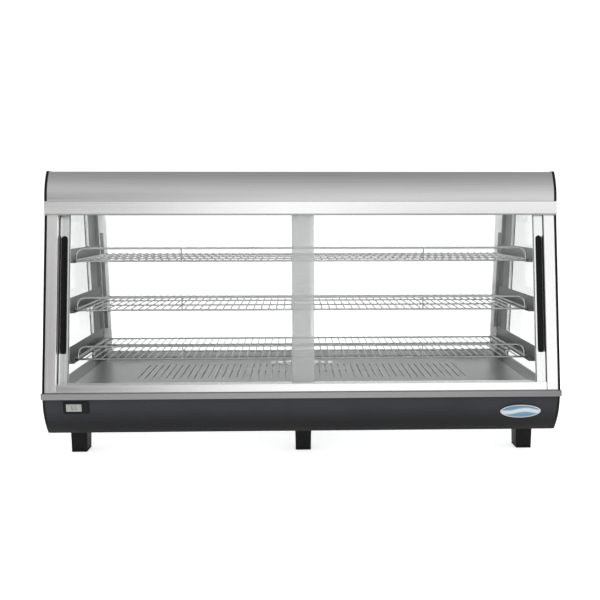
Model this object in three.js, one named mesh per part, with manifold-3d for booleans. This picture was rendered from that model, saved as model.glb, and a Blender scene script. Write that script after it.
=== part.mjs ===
// A countertop heated holding cabinet: glass show case on a heated base, three wire shelves,
// sliding glass doors at the front and at the rear. Millimetres, +Z up, front towards -Y,
// origin on the table under the middle of the cabinet.
import * as THREE from 'three';
import { mergeVertices } from 'three/addons/utils/BufferGeometryUtils.js';
import Module from 'manifold-3d';

const wasm = await Module();
wasm.setup();

// Driving dimensions
const WIDTH = 1200;
const DEPTH = 568;
const HEIGHT = 681;
const GAP = 0.3;

// Levels
const FOOT_HEIGHT = 70;
const BASE_TOP = 157;
const RIM_TOP = 171.6;
const BAND_BOTTOM = 580;
const BAND_TOP = 609.4;
const CEILING_LEVEL = 598;
const SHELF_LEVELS = { low: 233, middle: 350, top: 467 };

// Base
const BASE_HALF_WIDTH = 597;
const BASE_FRONT = -280;
const BASE_REAR = 262;
const BASE_SETBACK = 45;
const END_CAP = 5.7;
const SHEET = 1.5;
const FOOT_TOP = { x: 41, y: 54 };
const FOOT_BOTTOM = { x: 38, y: 50 };
const FOOT_X = 548;
const FOOT_Y = 117;
const RIM_FLANGE = 44;
const RIM_SHEET = 2;

// Deck and heater
const DECK_CLEARANCE = 0.5;
const DECK_SKIRT = 12;
const SLOT = { columns: 24, pitch: 35, width: 4, length: 100, rows: [-45, 85] };
const TRAY = { x: 540, y: 200 };
const HEATER = { x: 470, y: 110, z: 125, radius: 5 };

// Slanted faces: the posts' front plane moves back by LEAN for each unit of height
const FACE = -278;
const LEAN = 64 / 408;
const POST_OUTER = 595.6;
const POST_INNER = 567.5;
const POST_DEPTH = 31;
const POST_SHEET = 2;
const POST_LIP = 10;

// Door tracks: fins and floors, as depths behind the posts' front plane
const TRACK = { front: 2, back: 32, fin: 3, pitch: 13.5 };
const LOWER_TRACK = { floor: 4, height: 17.7 };
const UPPER_TRACK = { bottom: 582, ceiling: 603, top: 607, halfX: 595.4 };
const PLUG = { inset: 1, thickness: 3 };
const CEILING_HALF_WIDTH = 587.5;

// Doors
const DOOR_PLANES = { outer: 10.25, inner: 23.75 };
const DOOR_BOTTOM = 176.4;
const DOOR_TOP = 600;
const DOOR_END = POST_INNER - 0.6;
const DOOR_OVERLAP = 26;
const DOOR_GLASS = 5;
const STILE = { width: 23.4, thickness: 9.6, groove: 5.6, grip: 5 };
const HANDLE = { width: 14, low: 258, high: 529, proud: 1.5, inset: 11, pocket: 7 };
const STRIP = { half: 25, thickness: 1.2, low: 190.5, high: 579 };

// Side glass
const SIDE_GLASS = { outer: 593.3, thickness: 5, top: 597 };

// Shelf racks: two uprights and three L ledges on each side
const RACK = { wall: 558, sheet: 1.6, ledge: 536, flange: 30, upright: 14, depth: 34 };

// Wire shelves
const SHELF = { halfX: 546, halfY: 185, wire: 4, rod: 3, rods: 27, guard: 31, strut: 290, end: 538 };

// Top
const BAND = { x: 598, y: 220, sheet: 2, shelfX: 570, shelfY: 205, lipY: 212.6, lipX: 563 };
const LAMP = { y: -120, halfX: 530, halfY: 18, thickness: 3, housing: 24 };
const HOOD = { x: 597, cap: 5.7, foot: 218, sweep: 0.68, corner: 6, sheet: 1.5, lip: 1.5 };

// Front panel details
const THERMOMETER = { x: -521, z: 138.5, width: 59, height: 30, thickness: 2 };
const THERMOMETER_BODY = { width: 50, height: 23, depth: 22 };
const LCD = { shift: -5, width: 35, height: 18, thickness: 0.8, recess: 1.1 };
const BADGE = { x: 506, z: 122.5, width: 95, height: 36, thickness: 2 };

// Rear controls
const CONTROLS = { x0: 330, x1: 490, z0: 86, z1: 142, z: 114 };
const SWITCHES = { power_switch: 360, light_switch: 395 };
const ROCKER = { half: 7, radius: 10, face: 3.4, dip: 1.4, tilt: 0.16, clearance: 0.5 };
const KNOB = { x: 450, radius: 17, taper: 0.92, depth: 15, shaft: 3, rib: 1.5 };
const THERMOSTAT = { half: 15, back: 225, front: 255 };
const GLAND = { x: -480, z: 112, bore: 3.5, barrel: 7.8, nut: 13, dome: 10 };
const VENTS = { x: 210, count: 8, pitch: 16, width: 5, height: 40 };

const materials = {
  brushed: new THREE.MeshStandardMaterial({ color: 0xb4b4b2, roughness: 0.38, metalness: 1 }),
  polished: new THREE.MeshStandardMaterial({ color: 0xe4e4e4, roughness: 0.16, metalness: 1 }),
  aluminium: new THREE.MeshStandardMaterial({ color: 0xd6d6d4, roughness: 0.3, metalness: 1 }),
  bracket: new THREE.MeshStandardMaterial({ color: 0x7c7e7d, roughness: 0.42, metalness: 1 }),
  chrome: new THREE.MeshStandardMaterial({ color: 0xdcdcdc, roughness: 0.12, metalness: 1 }),
  charcoal: new THREE.MeshStandardMaterial({ color: 0x36383d, roughness: 0.5, metalness: 0 }),
  black: new THREE.MeshStandardMaterial({ color: 0x171717, roughness: 0.45, metalness: 0 }),
  foot: new THREE.MeshStandardMaterial({ color: 0x202020, roughness: 0.6, metalness: 0 }),
  galvanised: new THREE.MeshStandardMaterial({ color: 0x9a9c9b, roughness: 0.5, metalness: 1 }),
  heater: new THREE.MeshStandardMaterial({ color: 0x4b4744, roughness: 0.55, metalness: 1 }),
  glass: new THREE.MeshStandardMaterial({
    color: 0xe8eeec,
    roughness: 0.03,
    metalness: 0,
    transparent: true,
    opacity: 0.16,
  }),
  strip: new THREE.MeshStandardMaterial({
    color: 0xd2d3d4,
    roughness: 0.4,
    metalness: 0,
    transparent: true,
    opacity: 0.6,
  }),
  diffuser: new THREE.MeshStandardMaterial({ color: 0xf4f4f0, roughness: 0.5, metalness: 0 }),
  lcd: new THREE.MeshStandardMaterial({ color: 0x8f9390, roughness: 0.25, metalness: 0 }),
  badge: new THREE.MeshStandardMaterial({ color: 0x2d6f9f, roughness: 0.3, metalness: 0 }),
};

const cabinet = new THREE.Group();
cabinet.name = 'food_holding_cabinet';

// Solids

function toSolid(geometry) {
  const bare = geometry.index ? geometry.toNonIndexed() : geometry.clone();
  bare.deleteAttribute('normal');
  bare.deleteAttribute('uv');
  const merged = mergeVertices(bare, 1e-4);
  return new wasm.Manifold(
    new wasm.Mesh({
      numProp: 3,
      vertProperties: merged.attributes.position.array,
      triVerts: new Uint32Array(merged.index.array),
    }),
  );
}

function toGeometry(solid) {
  const mesh = solid.getMesh();
  const geometry = new THREE.BufferGeometry();
  geometry.setAttribute('position', new THREE.BufferAttribute(new Float32Array(mesh.vertProperties), 3));
  geometry.setIndex(new THREE.BufferAttribute(new Uint32Array(mesh.triVerts), 1));
  const faceted = geometry.toNonIndexed();
  faceted.computeVertexNormals();
  return faceted;
}

function join(...geometries) {
  return toGeometry(geometries.map(toSolid).reduce((whole, piece) => whole.add(piece)));
}

function cut(geometry, ...tools) {
  return toGeometry(tools.map(toSolid).reduce((rest, tool) => rest.subtract(tool), toSolid(geometry)));
}

// Geometry helpers

function block(x0, x1, y0, y1, z0, z1) {
  const geometry = new THREE.BoxGeometry(x1 - x0, y1 - y0, z1 - z0);
  return geometry.translate((x0 + x1) / 2, (y0 + y1) / 2, (z0 + z1) / 2);
}

function shapeOf(points) {
  return new THREE.Shape(points.map(([x, y]) => new THREE.Vector2(x, y)));
}

// A flat outline in x and y, raised from z0 to z1
function prism(points, z0, z1) {
  const geometry = new THREE.ExtrudeGeometry(shapeOf(points), { depth: z1 - z0, bevelEnabled: false });
  return geometry.translate(0, 0, z0);
}

// A side outline in y and z, drawn out from x0 to x1
function beam(points, x0, x1) {
  const geometry = new THREE.ExtrudeGeometry(shapeOf(points), { depth: x1 - x0, bevelEnabled: false });
  const axes = new THREE.Matrix4().makeBasis(
    new THREE.Vector3(0, 1, 0),
    new THREE.Vector3(0, 0, 1),
    new THREE.Vector3(1, 0, 0),
  );
  return geometry.applyMatrix4(axes).translate(x0, 0, 0);
}

// Slides each level back by LEAN, so that a straight piece follows the slanted face
function lean(geometry) {
  const shear = new THREE.Matrix4().set(1, 0, 0, 0, 0, 1, LEAN, -LEAN * RIM_TOP, 0, 0, 1, 0, 0, 0, 0, 1);
  geometry.applyMatrix4(shear);
  geometry.computeVertexNormals();
  return geometry;
}

function rodBetween(from, to, radius) {
  const start = new THREE.Vector3(...from);
  const way = new THREE.Vector3(...to).sub(start);
  const geometry = new THREE.CylinderGeometry(radius, radius, way.length(), 8);
  const turn = new THREE.Quaternion().setFromUnitVectors(new THREE.Vector3(0, 1, 0), way.clone().normalize());
  geometry.applyQuaternion(turn);
  const middle = start.add(way.multiplyScalar(0.5));
  return geometry.translate(middle.x, middle.y, middle.z);
}

function stadium(centreX, low, high, width) {
  const radius = width / 2;
  const shape = new THREE.Shape();
  shape.absarc(centreX, high - radius, radius, 0, Math.PI, false);
  shape.absarc(centreX, low + radius, radius, Math.PI, 2 * Math.PI, false);
  return shape.getPoints(5).map((point) => [point.x, point.y]);
}

// An upright outline in x and z, from depth y0 to depth y1
function plaque(points, y0, y1) {
  return prism(points, 0, y1 - y0)
    .rotateX(Math.PI / 2)
    .translate(0, y1, 0);
}

function add(parent, name, geometry, material) {
  const mesh = new THREE.Mesh(geometry, material);
  mesh.name = name;
  parent.add(mesh);
  return mesh;
}

const sides = { left: -1, right: 1 };

// Base

function frontSetback(z) {
  return BASE_SETBACK * ((BASE_TOP - z) / (BASE_TOP - FOOT_HEIGHT)) ** 2;
}

function frontSlope(z) {
  return (2 * BASE_SETBACK * (BASE_TOP - z)) / (BASE_TOP - FOOT_HEIGHT) ** 2;
}

function frontCurve(offset) {
  const steps = 8;
  const points = [];
  for (let step = 0; step <= steps; step += 1) {
    const z = BASE_TOP - ((BASE_TOP - FOOT_HEIGHT) * step) / steps;
    const tilt = Math.atan(frontSlope(z));
    points.push([BASE_FRONT + frontSetback(z) + offset * Math.cos(tilt), z + offset * Math.sin(tilt)]);
  }
  return points;
}

// Puts a piece drawn flat (x, depth outwards = -y, height) on the curved front at level z
function onFront(geometry, x, z) {
  return geometry.rotateX(Math.atan(frontSlope(z))).translate(x, BASE_FRONT + frontSetback(z), z);
}

function makeFeet() {
  for (const [sideName, x] of Object.entries({ left: -FOOT_X, middle: 0, right: FOOT_X })) {
    for (const [endName, y] of Object.entries({ front: -FOOT_Y, rear: FOOT_Y })) {
      const height = FOOT_HEIGHT - GAP;
      const geometry = new THREE.BoxGeometry(FOOT_TOP.x, FOOT_TOP.y, height);
      const position = geometry.attributes.position;
      for (let i = 0; i < position.count; i += 1) {
        if (position.getZ(i) < 0) {
          position.setX(i, (position.getX(i) * FOOT_BOTTOM.x) / FOOT_TOP.x);
          position.setY(i, (position.getY(i) * FOOT_BOTTOM.y) / FOOT_TOP.y);
        }
      }
      geometry.computeVertexNormals();
      const foot = add(cabinet, `foot_${endName}_${sideName}`, geometry, materials.foot);
      foot.position.set(x, y, height / 2);
    }
  }
}

function makeBaseShell() {
  const inner = BASE_HALF_WIDTH - END_CAP - GAP;
  const panBack = BASE_REAR - SHEET - GAP;
  const panFront = BASE_FRONT + BASE_SETBACK + 2 * SHEET;
  const pan = block(-inner, inner, panFront, panBack, FOOT_HEIGHT, FOOT_HEIGHT + SHEET);
  add(cabinet, 'base_pan', pan, materials.galvanised);

  const fascia = beam([...frontCurve(0), ...frontCurve(SHEET).reverse()], -inner, inner);
  const window = block(
    -THERMOMETER_BODY.width / 2 - GAP,
    THERMOMETER_BODY.width / 2 + GAP,
    -THERMOMETER_BODY.depth,
    THERMOMETER_BODY.depth,
    -THERMOMETER_BODY.height / 2 - GAP,
    THERMOMETER_BODY.height / 2 + GAP,
  );
  const opened = cut(fascia, onFront(window, THERMOMETER.x, THERMOMETER.z));
  add(cabinet, 'base_front_panel', opened, materials.charcoal);

  const capOutline = [...frontCurve(0), [BASE_REAR, FOOT_HEIGHT], [BASE_REAR, BASE_TOP]];
  for (const [sideName, side] of Object.entries(sides)) {
    const outer = side * BASE_HALF_WIDTH;
    const innerFace = side * (BASE_HALF_WIDTH - END_CAP);
    const cap = beam(capOutline, Math.min(outer, innerFace), Math.max(outer, innerFace));
    add(cabinet, `base_end_${sideName}`, cap, materials.black);
  }
}

function rearPanelHoles(y0, y1) {
  const halfWidth = ROCKER.half + ROCKER.clearance;
  const halfHeight = ROCKER.radius + ROCKER.clearance;
  const tools = Object.values(SWITCHES).map((x) =>
    block(x - halfWidth, x + halfWidth, y0, y1, CONTROLS.z - halfHeight, CONTROLS.z + halfHeight),
  );
  tools.push(rodBetween([KNOB.x, y0, CONTROLS.z], [KNOB.x, y1, CONTROLS.z], KNOB.shaft + 1));
  return tools;
}

function makeRearPanel() {
  const inner = BASE_HALF_WIDTH - END_CAP - GAP;
  const top = BASE_TOP - GAP;
  const bottom = FOOT_HEIGHT + SHEET + GAP;
  const panel = block(-inner, inner, BASE_REAR - SHEET, BASE_REAR, bottom, top);
  const reach = 10;
  const tools = rearPanelHoles(BASE_REAR - reach, BASE_REAR + reach);
  const glandHole = GLAND.barrel + 2 * GAP;
  tools.push(
    rodBetween([GLAND.x, BASE_REAR - reach, GLAND.z], [GLAND.x, BASE_REAR + reach, GLAND.z], glandHole),
  );
  for (const middle of [-VENTS.x, VENTS.x]) {
    for (let i = 0; i < VENTS.count; i += 1) {
      const x = middle + (i - (VENTS.count - 1) / 2) * VENTS.pitch;
      const half = VENTS.width / 2;
      const z0 = CONTROLS.z - VENTS.height / 2;
      tools.push(block(x - half, x + half, BASE_REAR - reach, BASE_REAR + reach, z0, z0 + VENTS.height));
    }
  }
  add(cabinet, 'base_rear_panel', cut(panel, ...tools), materials.charcoal);
}

function makeRim() {
  const x = WIDTH / 2;
  const y = DEPTH / 2;
  const bottom = BASE_TOP + GAP;
  const whole = block(-x, x, -y, y, bottom, RIM_TOP);
  const under = block(
    -x + RIM_SHEET,
    x - RIM_SHEET,
    -y + RIM_SHEET,
    y - RIM_SHEET,
    bottom - 1,
    RIM_TOP - RIM_SHEET,
  );
  const open = block(
    -x + RIM_FLANGE,
    x - RIM_FLANGE,
    -y + RIM_FLANGE,
    y - RIM_FLANGE,
    bottom - 1,
    RIM_TOP + 1,
  );
  add(cabinet, 'base_rim', cut(whole, under, open), materials.brushed);
}

// Heated deck

function makeDeck() {
  const x = WIDTH / 2 - RIM_FLANGE - DECK_CLEARANCE;
  const y = DEPTH / 2 - RIM_FLANGE - DECK_CLEARANCE;
  const bottom = RIM_TOP - DECK_SKIRT;
  const whole = block(-x, x, -y, y, bottom, RIM_TOP);
  const under = block(-x + SHEET, x - SHEET, -y + SHEET, y - SHEET, bottom - 1, RIM_TOP - RIM_SHEET);
  const slots = [];
  for (let column = 0; column < SLOT.columns; column += 1) {
    const middle = (column - (SLOT.columns - 1) / 2) * SLOT.pitch;
    for (const row of SLOT.rows) {
      const y0 = row - SLOT.length / 2;
      const x0 = middle - SLOT.width / 2;
      slots.push(block(x0, x0 + SLOT.width, y0, y0 + SLOT.length, bottom, RIM_TOP + 1));
    }
  }
  add(cabinet, 'deck_plate', cut(whole, under, ...slots), materials.brushed);
}

function makeHeater() {
  const bottom = FOOT_HEIGHT + SHEET + GAP;
  const top = RIM_TOP - RIM_SHEET - GAP;
  const whole = block(-TRAY.x, TRAY.x, -TRAY.y, TRAY.y, bottom, top);
  const hollow = block(
    -TRAY.x + SHEET,
    TRAY.x - SHEET,
    -TRAY.y + SHEET,
    TRAY.y - SHEET,
    bottom + SHEET,
    top + 1,
  );
  add(cabinet, 'heater_tray', cut(whole, hollow), materials.galvanised);

  const { x, y, z, radius } = HEATER;
  const corners = [
    [-x, -y, z],
    [x, -y, z],
    [x, 0, z],
    [-x, 0, z],
    [-x, y, z],
    [x, y, z],
  ];
  const pieces = corners.slice(1).map((corner, i) => rodBetween(corners[i], corner, radius));
  for (const corner of corners.slice(1, -1)) {
    pieces.push(new THREE.SphereGeometry(radius * 1.05, 8, 6).translate(...corner));
  }
  add(cabinet, 'heater_element', join(...pieces), materials.heater);
}

// Front panel details

function makeThermometer() {
  const { width, height, thickness } = THERMOMETER;
  const body = THERMOMETER_BODY;
  const flange = block(-width / 2, width / 2, -GAP - thickness, -GAP, -height / 2, height / 2);
  const barrel = block(
    -body.width / 2,
    body.width / 2,
    -GAP - thickness / 2,
    body.depth,
    -body.height / 2,
    body.height / 2,
  );
  const face = -GAP - thickness;
  const window = block(
    LCD.shift - LCD.width / 2 - GAP,
    LCD.shift + LCD.width / 2 + GAP,
    face - 1,
    face + LCD.recess + GAP,
    -LCD.height / 2 - GAP,
    LCD.height / 2 + GAP,
  );
  const bezel = onFront(cut(join(flange, barrel), window), THERMOMETER.x, THERMOMETER.z);
  add(cabinet, 'thermometer_bezel', bezel, materials.black);

  const glassFace = face + LCD.recess - LCD.thickness;
  const display = block(
    LCD.shift - LCD.width / 2,
    LCD.shift + LCD.width / 2,
    glassFace,
    glassFace + LCD.thickness,
    -LCD.height / 2,
    LCD.height / 2,
  );
  add(cabinet, 'thermometer_display', onFront(display, THERMOMETER.x, THERMOMETER.z), materials.lcd);
}

function makeBadge() {
  const outline = new THREE.EllipseCurve(0, 0, BADGE.width / 2, BADGE.height / 2).getPoints(32);
  const points = outline.slice(0, -1).map((point) => [point.x, point.y]);
  const plate = plaque(points, -GAP - BADGE.thickness, -GAP);
  add(cabinet, 'badge_plate', onFront(plate, BADGE.x, BADGE.z), materials.badge);
}

// Rear controls

function makeControls() {
  const y0 = BASE_REAR + GAP;
  const plate = block(CONTROLS.x0, CONTROLS.x1, y0, y0 + SHEET, CONTROLS.z0, CONTROLS.z1);
  const opened = cut(plate, ...rearPanelHoles(y0 - 1, y0 + SHEET + 1));
  add(cabinet, 'control_plate', opened, materials.brushed);

  for (const [name, x] of Object.entries(SWITCHES)) {
    const end = Math.sqrt(ROCKER.radius ** 2 - ROCKER.face ** 2) - 0.05;
    const outline = [
      [-ROCKER.face, -end],
      [ROCKER.face, -end],
      [ROCKER.dip, 0],
      [ROCKER.face, end],
      [-ROCKER.face, end],
    ];
    const rocker = beam(outline, -ROCKER.half, ROCKER.half).rotateX(-ROCKER.tilt);
    const mesh = add(cabinet, name, rocker, materials.black);
    mesh.position.set(x, BASE_REAR, CONTROLS.z);
  }

  const disc = BASE_REAR + GAP + SHEET + GAP;
  const shaftEnd = THERMOSTAT.front + 1;
  const knobAt = (y) => [KNOB.x, y, CONTROLS.z];
  const body = new THREE.CylinderGeometry(KNOB.radius * KNOB.taper, KNOB.radius, KNOB.depth, 24);
  body.translate(KNOB.x, disc + KNOB.depth / 2, CONTROLS.z);
  const shaft = rodBetween(knobAt(shaftEnd), knobAt(disc + 1), KNOB.shaft);
  const rib = block(
    KNOB.x - KNOB.rib,
    KNOB.x + KNOB.rib,
    disc + KNOB.depth - 1,
    disc + KNOB.depth + KNOB.rib,
    CONTROLS.z,
    CONTROLS.z + KNOB.radius * KNOB.taper - KNOB.rib,
  );
  add(cabinet, 'thermostat_knob', join(body, shaft, rib), materials.black);

  const { half, back, front } = THERMOSTAT;
  const box = block(KNOB.x - half, KNOB.x + half, back, front, CONTROLS.z - half, CONTROLS.z + half);
  add(cabinet, 'thermostat_body', box, materials.galvanised);
}

function makeGland() {
  const { bore, barrel, nut, dome } = GLAND;
  const profile = [
    [bore, -14],
    [barrel, -14],
    [barrel, GAP],
    [nut, GAP],
    [nut, 6],
    [dome, 6],
    [dome - 2, 16],
    [bore, 16],
    [bore, -14],
  ];
  const points = profile.map(([r, h]) => new THREE.Vector2(r, h));
  const mesh = add(cabinet, 'cable_gland', new THREE.LatheGeometry(points, 12), materials.black);
  mesh.position.set(GLAND.x, BASE_REAR, GLAND.z);
}

// Slanted glass walls

function postOutline(side) {
  const s = POST_SHEET;
  const run = POST_OUTER - POST_INNER;
  const outline = [
    [0, 0],
    [run, 0],
    [run, POST_LIP],
    [run - s, POST_LIP],
    [run - s, s],
    [s, s],
    [s, POST_DEPTH - s],
    [POST_LIP, POST_DEPTH - s],
    [POST_LIP, POST_DEPTH],
    [0, POST_DEPTH],
  ];
  return outline.map(([across, deep]) => [side * (POST_OUTER - across), FACE + deep]);
}

function trackOutline(floorLevel, plateLevel, finLevel) {
  const { front, back, fin, pitch } = TRACK;
  const points = [
    [front, floorLevel],
    [back, floorLevel],
    [back, finLevel],
    [back - fin, finLevel],
    [back - fin, plateLevel],
    [front + pitch + fin, plateLevel],
    [front + pitch + fin, finLevel],
    [front + pitch, finLevel],
    [front + pitch, plateLevel],
    [front + fin, plateLevel],
    [front + fin, finLevel],
    [front, finLevel],
  ];
  return points.map(([deep, level]) => [FACE + deep, level]);
}

function glassPane(side, plane) {
  const edge = side * (DOOR_END - STILE.width + STILE.grip - GAP);
  const far = -side * DOOR_OVERLAP;
  const y = FACE + plane;
  const half = DOOR_GLASS / 2;
  const pane = block(Math.min(edge, far), Math.max(edge, far), y - half, y + half, DOOR_BOTTOM, DOOR_TOP);
  return lean(pane);
}

function stilePiece(side, plane) {
  const y = FACE + plane;
  const half = STILE.thickness / 2;
  const inner = side * (DOOR_END - STILE.width);
  const outer = side * DOOR_END;
  const grooveEnd = side * (DOOR_END - STILE.width + STILE.grip);
  const bar = block(
    Math.min(inner, outer),
    Math.max(inner, outer),
    y - half,
    y + half,
    DOOR_BOTTOM,
    DOOR_TOP,
  );
  const grooveStart = inner - side;
  const groove = block(
    Math.min(grooveStart, grooveEnd),
    Math.max(grooveStart, grooveEnd),
    y - STILE.groove / 2,
    y + STILE.groove / 2,
    DOOR_BOTTOM - 1,
    DOOR_TOP + 1,
  );
  const centre = side * (DOOR_END - HANDLE.inset);
  const outline = stadium(centre, HANDLE.low - GAP, HANDLE.high + GAP, HANDLE.width + 2 * GAP);
  const pocket = plaque(outline, y - half - 1, y - half + HANDLE.pocket);
  return lean(cut(bar, groove, pocket));
}

function handlePiece(side, plane) {
  const face = FACE + plane - STILE.thickness / 2;
  const centre = side * (DOOR_END - HANDLE.inset);
  const outline = stadium(centre, HANDLE.low, HANDLE.high, HANDLE.width);
  return lean(plaque(outline, face - HANDLE.proud, face + HANDLE.pocket - GAP));
}

function stripPiece(plane) {
  const y0 = FACE + plane + DOOR_GLASS / 2 + GAP;
  return lean(block(-STRIP.half, STRIP.half, y0, y0 + STRIP.thickness, STRIP.low, STRIP.high));
}

// Front face as drawn, rear face turned half round: there, its left is the cabinet's right
function makeFace(faceName, turn, sideNames) {
  const face = new THREE.Group();
  face.rotation.z = turn;
  cabinet.add(face);
  for (const [drawn, side] of Object.entries(sides)) {
    const name = `${faceName}_${sideNames[drawn]}`;
    const post = prism(postOutline(side), RIM_TOP + GAP, BAND_BOTTOM - GAP);
    add(face, `post_${name}`, lean(post), materials.aluminium);
    const plane = drawn === 'left' ? DOOR_PLANES.inner : DOOR_PLANES.outer;
    add(face, `door_glass_${name}`, glassPane(side, plane), materials.glass);
    add(face, `door_stile_${name}`, stilePiece(side, plane), materials.aluminium);
    add(face, `door_handle_${name}`, handlePiece(side, plane), materials.black);
    if (drawn === 'right') {
      add(face, `door_strip_${name}`, stripPiece(plane), materials.strip);
    }
  }
  const floor = RIM_TOP + GAP;
  const lower = trackOutline(floor, floor + LOWER_TRACK.floor, floor + LOWER_TRACK.height);
  add(face, `track_lower_${faceName}`, lean(beam(lower, -DOOR_END, DOOR_END)), materials.polished);
  const { bottom, ceiling, top, halfX } = UPPER_TRACK;
  const upper = trackOutline(top, ceiling, bottom);
  // An end plug near each end of the upper track closes its grooves, a little inside the fins
  const { inset, thickness } = PLUG;
  const y0 = FACE + TRACK.front + inset;
  const y1 = FACE + TRACK.back - inset;
  const plugs = [-1, 1].map((side) => {
    const ends = [side * (halfX - inset), side * (halfX - inset - thickness)];
    return block(Math.min(...ends), Math.max(...ends), y0, y1, bottom + inset, ceiling + inset);
  });
  const upperBeam = join(beam(upper, -halfX, halfX), ...plugs);
  add(face, `track_upper_${faceName}`, lean(upperBeam), materials.aluminium);
}

function makeSideGlass() {
  const low = RIM_TOP + GAP;
  const inset = TRACK.back + GAP;
  const reach = (z) => -FACE - inset - LEAN * (z - RIM_TOP);
  const outline = [
    [-reach(low), low],
    [reach(low), low],
    [reach(SIDE_GLASS.top), SIDE_GLASS.top],
    [-reach(SIDE_GLASS.top), SIDE_GLASS.top],
  ];
  for (const [sideName, side] of Object.entries(sides)) {
    const ends = [side * SIDE_GLASS.outer, side * (SIDE_GLASS.outer - SIDE_GLASS.thickness)];
    const pane = beam(outline, Math.min(...ends), Math.max(...ends));
    add(cabinet, `side_glass_${sideName}`, pane, materials.glass);
  }
}

// Shelves

function makeRack(sideName, side) {
  const span = (a, b) => [Math.min(side * a, side * b), Math.max(side * a, side * b)];
  const wallOuter = RACK.wall + RACK.sheet;
  const pieces = [];
  const upright = span(wallOuter - GAP, POST_INNER - GAP);
  const deep = FACE + RACK.depth;
  for (const turn of [0, Math.PI]) {
    const [x0, x1] = turn === 0 ? upright : [-upright[1], -upright[0]];
    const strip = lean(block(x0, x1, deep, deep + RACK.upright, RIM_TOP + GAP, CEILING_LEVEL - 1));
    pieces.push(strip.rotateZ(turn));
  }
  for (const level of Object.values(SHELF_LEVELS)) {
    const top = level + RACK.flange;
    const reach = -FACE - RACK.depth - 2 - LEAN * (top - RIM_TOP);
    const outline = [
      [side * RACK.ledge, level - RACK.sheet],
      [side * wallOuter, level - RACK.sheet],
      [side * wallOuter, top],
      [side * RACK.wall, top],
      [side * RACK.wall, level],
      [side * RACK.ledge, level],
    ];
    pieces.push(plaque(outline, -reach, reach));
  }
  add(cabinet, `shelf_rack_${sideName}`, join(...pieces), materials.bracket);
}

function makeShelf(levelName, level) {
  const { halfX, halfY, wire, rod, rods, guard, strut, end } = SHELF;
  const z0 = level + GAP;
  const plate = block(-halfX, halfX, -halfY, halfY, z0, z0 + wire);
  const pitch = (2 * halfX - rod) / (rods - 1);
  const openings = [];
  for (let i = 0; i < rods - 1; i += 1) {
    const x0 = -halfX + rod + i * pitch;
    const x1 = x0 + pitch - rod;
    openings.push(block(x0, x1, -halfY + wire, -wire / 2, z0 - 1, z0 + wire + 1));
    openings.push(block(x0, x1, wire / 2, halfY - wire, z0 - 1, z0 + wire + 1));
  }
  const y1 = -halfY + wire;
  const rail = block(-end, end, -halfY, y1, z0 + guard, z0 + guard + wire);
  const legs = [-end, -strut, strut, end].map((x) => {
    const x0 = x < 0 ? x : x - wire;
    return block(x0, x0 + wire, -halfY, y1, z0 + wire / 2, z0 + guard + wire);
  });
  const shelf = join(cut(plate, ...openings), rail, ...legs);
  add(cabinet, `shelf_${levelName}`, shelf, materials.chrome);
}

// Top

function makeTop() {
  const { x, y, sheet, shelfX, shelfY, lipX, lipY } = BAND;
  const whole = block(-x, x, -y, y, BAND_BOTTOM, BAND_TOP);
  const under = block(-x + sheet, x - sheet, -y + sheet, y - sheet, BAND_BOTTOM - 1, BAND_TOP - sheet);
  const mouth = block(-shelfX, shelfX, -shelfY, shelfY, BAND_BOTTOM - 1, BAND_TOP + 1);
  const lips = [-y, lipY].map((y0) => {
    return block(-lipX, lipX, y0, y0 + y - lipY, BAND_BOTTOM, BAND_BOTTOM + SHEET);
  });
  add(cabinet, 'top_band', join(cut(whole, under, mouth), ...lips), materials.polished);

  const reach = -FACE - TRACK.back - LEAN * (CEILING_LEVEL - RIM_TOP) - 2 * GAP;
  const panel = block(
    -CEILING_HALF_WIDTH,
    CEILING_HALF_WIDTH,
    -reach,
    reach,
    CEILING_LEVEL,
    CEILING_LEVEL + SHEET,
  );
  const lampX = LAMP.halfX + GAP;
  const window = block(
    -lampX,
    lampX,
    LAMP.y - LAMP.halfY - GAP,
    LAMP.y + LAMP.halfY + GAP,
    CEILING_LEVEL - 1,
    CEILING_LEVEL + SHEET + 1,
  );
  add(cabinet, 'ceiling_panel', cut(panel, window), materials.polished);

  const lampY0 = LAMP.y - LAMP.halfY;
  const lampY1 = LAMP.y + LAMP.halfY;
  const diffuserTop = CEILING_LEVEL + LAMP.thickness;
  const diffuser = block(-LAMP.halfX, LAMP.halfX, lampY0, lampY1, CEILING_LEVEL, diffuserTop);
  add(cabinet, 'lamp_diffuser', diffuser, materials.diffuser);
  const housingLow = diffuserTop + GAP;
  const housing = block(-lampX, lampX, lampY0, lampY1, housingLow, housingLow + LAMP.housing);
  add(cabinet, 'lamp_housing', housing, materials.galvanised);
}

// Half of the hood's side outline, from its foot at the band to the flat top, offset inwards.
// One large arc sweeps up from the upright foot, and a small one turns the corner to the top.
function hoodCurve(offset) {
  const { foot, sweep, corner } = HOOD;
  const bottom = BAND_TOP + GAP;
  const rise = HEIGHT - HOOD.lip - bottom;
  const radius = (rise - corner * (1 - Math.sin(sweep))) / Math.sin(sweep);
  const steps = 7;
  const points = [];
  for (let step = 0; step <= steps; step += 1) {
    const angle = (sweep * step) / steps;
    const r = radius - offset;
    points.push([-foot + radius - r * Math.cos(angle), bottom + r * Math.sin(angle)]);
  }
  const cornerY = -foot + radius - (radius - corner) * Math.cos(sweep);
  const cornerZ = bottom + (radius - corner) * Math.sin(sweep);
  const cornerSteps = 4;
  for (let step = 1; step <= cornerSteps; step += 1) {
    const angle = sweep + ((Math.PI / 2 - sweep) * step) / cornerSteps;
    const r = corner - offset;
    points.push([cornerY - r * Math.cos(angle), cornerZ + r * Math.sin(angle)]);
  }
  return points;
}

function hoodOutline(offset) {
  const front = hoodCurve(offset);
  const rear = front.map(([y, z]) => [-y, z]).reverse();
  return [...front, ...rear];
}

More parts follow.
